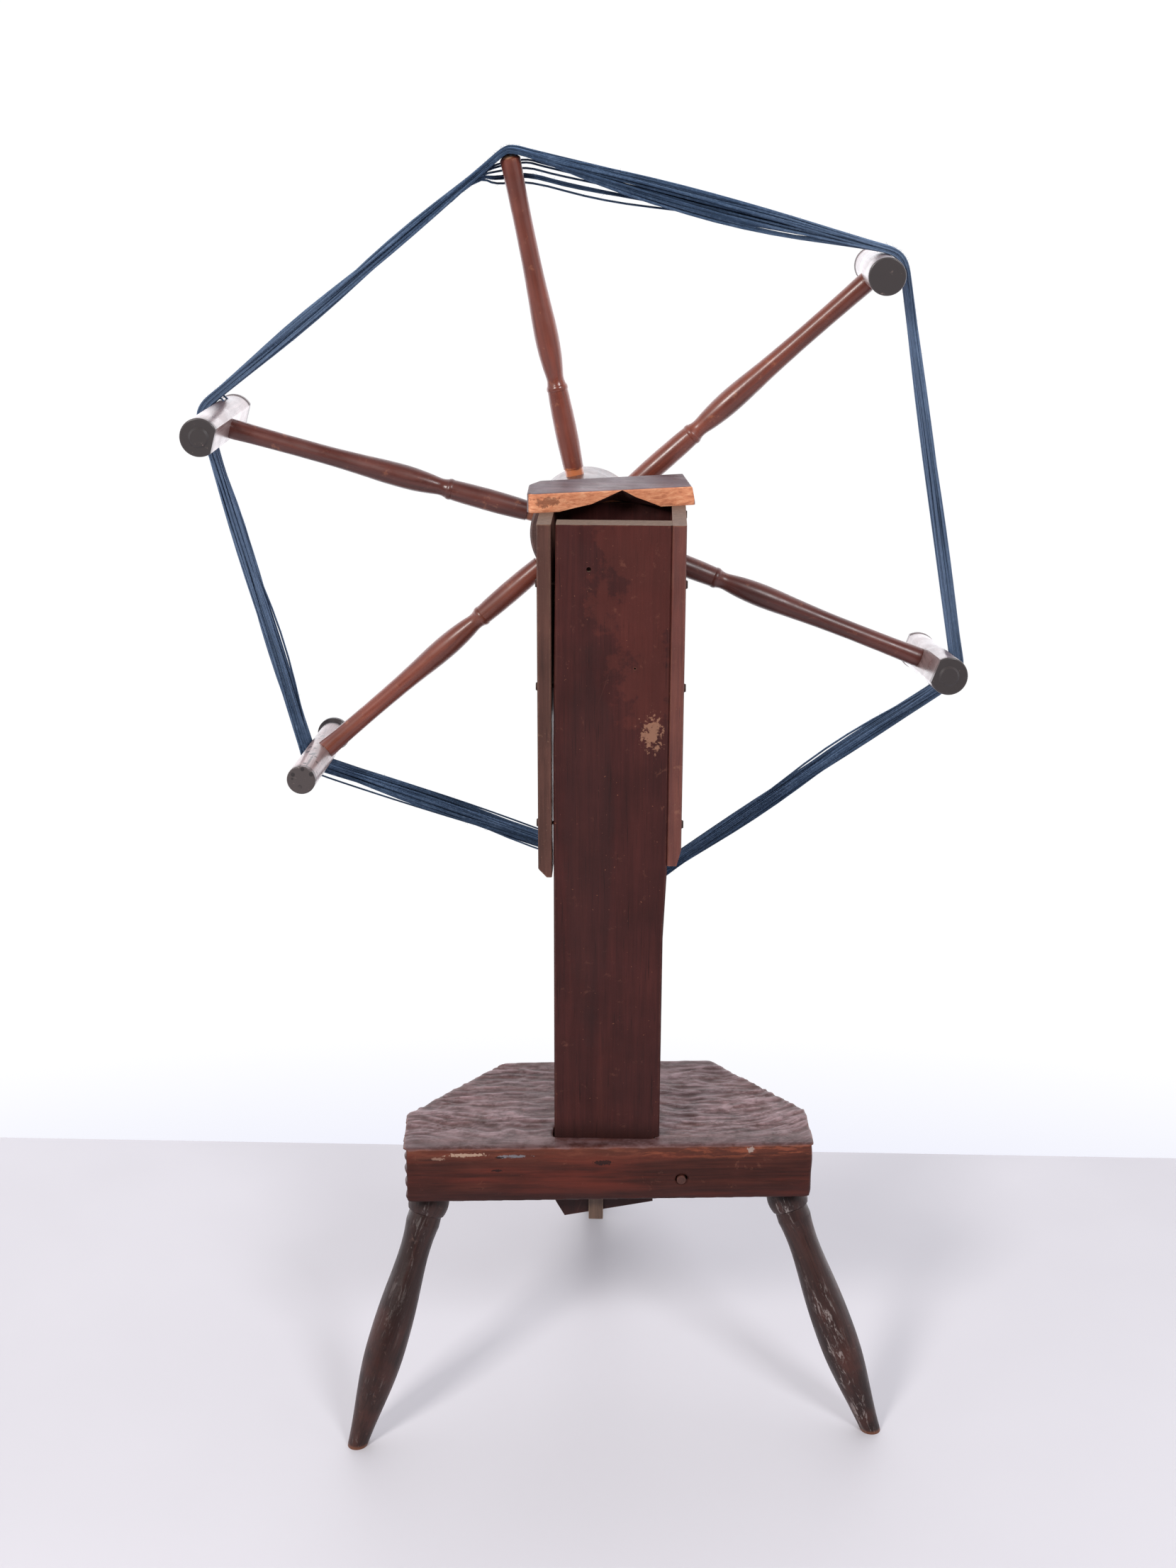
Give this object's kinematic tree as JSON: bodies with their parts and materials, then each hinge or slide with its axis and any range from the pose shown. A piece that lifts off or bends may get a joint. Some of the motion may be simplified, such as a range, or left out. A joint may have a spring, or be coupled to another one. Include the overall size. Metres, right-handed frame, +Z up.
{
  "type": "yarn swift",
  "caption": "Clock reel for measuring yarn into skeins: spoked wheel with crossbars behind a narrow box on a post, worm and clicker gear inside, half-hexagon plank on splayed turned legs.",
  "frame": {"origin": "on the floor, at the middle of the whole object seen from above, the yarn left out", "axes": "+Z up; the wheel's axle lies along Y, with the box's front towards -Y and the wheel towards +Y; +X is to the right seen from the front"},
  "size_m": [0.6015, 0.3941, 0.9909],
  "materials": {
    "board_wood": "old dark red-brown oil finish, worn and dusty",
    "side_wood": "old brown oil finish, paler on worn edges",
    "plank_wood": "hewn surface, dark and dull with paler rubbed spots",
    "leg_wood": "very dark turned wood, dusty",
    "spoke_wood": "turned, red-brown shellac worn to a soft shine",
    "crossbar_wood": "turned, grey-brown, handled smooth",
    "inner_wood": "bare aged hardwood",
    "lid_wood": "grey-brown top with a fresh orange break",
    "old_iron": "dull rusted hand-made nails",
    "blue_wool": "hairy handspun wool, uneven mid blue"
  },
  "bodies": {
    "frame": {"post": "board_wood", "back_board": "board_wood", "side_board_left": "side_wood", "side_board_right": "side_wood", "nails_left": "old_iron", "nails_right": "old_iron", "plank": "plank_wood", "leg_front_left": "leg_wood", "leg_front_right": "leg_wood", "leg_rear": "leg_wood", "tenon_wedge": "plank_wood", "edge_plug": "plank_wood", "clicker_block": "board_wood"},
    "wheel": {"axle": "spoke_wood", "hub": "spoke_wood", "spoke_top": "spoke_wood", "spoke_upper_right": "spoke_wood", "spoke_right": "spoke_wood", "spoke_bottom": "spoke_wood", "spoke_lower_left": "spoke_wood", "spoke_left": "spoke_wood", "crossbar_upper_right": "crossbar_wood", "crossbar_right": "crossbar_wood", "crossbar_bottom": "crossbar_wood", "crossbar_lower_left": "crossbar_wood", "crossbar_left": "crossbar_wood", "worm": "inner_wood", "worm_pin": "old_iron", "yarn_skein": "blue_wool"},
    "gear": {"gear": "inner_wood", "gear_arbor": "inner_wood", "trip_peg": "inner_wood"},
    "clicker": {"clicker": "inner_wood"},
    "lid": {"lid": "lid_wood"}
  },
  "joints": [
    {"name": "wheel_spin", "type": "hinge", "parent": "frame", "child": "wheel", "pos_m": [0.003, 0.008, 0.707], "axis": [0, 1, 0], "continuous": true},
    {"name": "gear_spin", "type": "hinge", "parent": "frame", "child": "gear", "pos_m": [0.003, -0.069, 0.66865], "axis": [1, 0, 0], "continuous": true},
    {"name": "clicker_bend", "type": "hinge", "parent": "frame", "child": "clicker", "pos_m": [0.017, -0.069, 0.50419], "axis": [-1, 0, 0], "range_deg": [-7, 7], "stiffness_Nm_per_rad": 0.6},
    {"name": "lid_lift", "type": "slide", "parent": "frame", "child": "lid", "axis": [0, 0, 1], "range_m": [0, 0.08]}
  ],
  "couplings": [
    {"joint": "gear_spin", "follows": "wheel_spin", "ratio": 0.025}
  ]
}
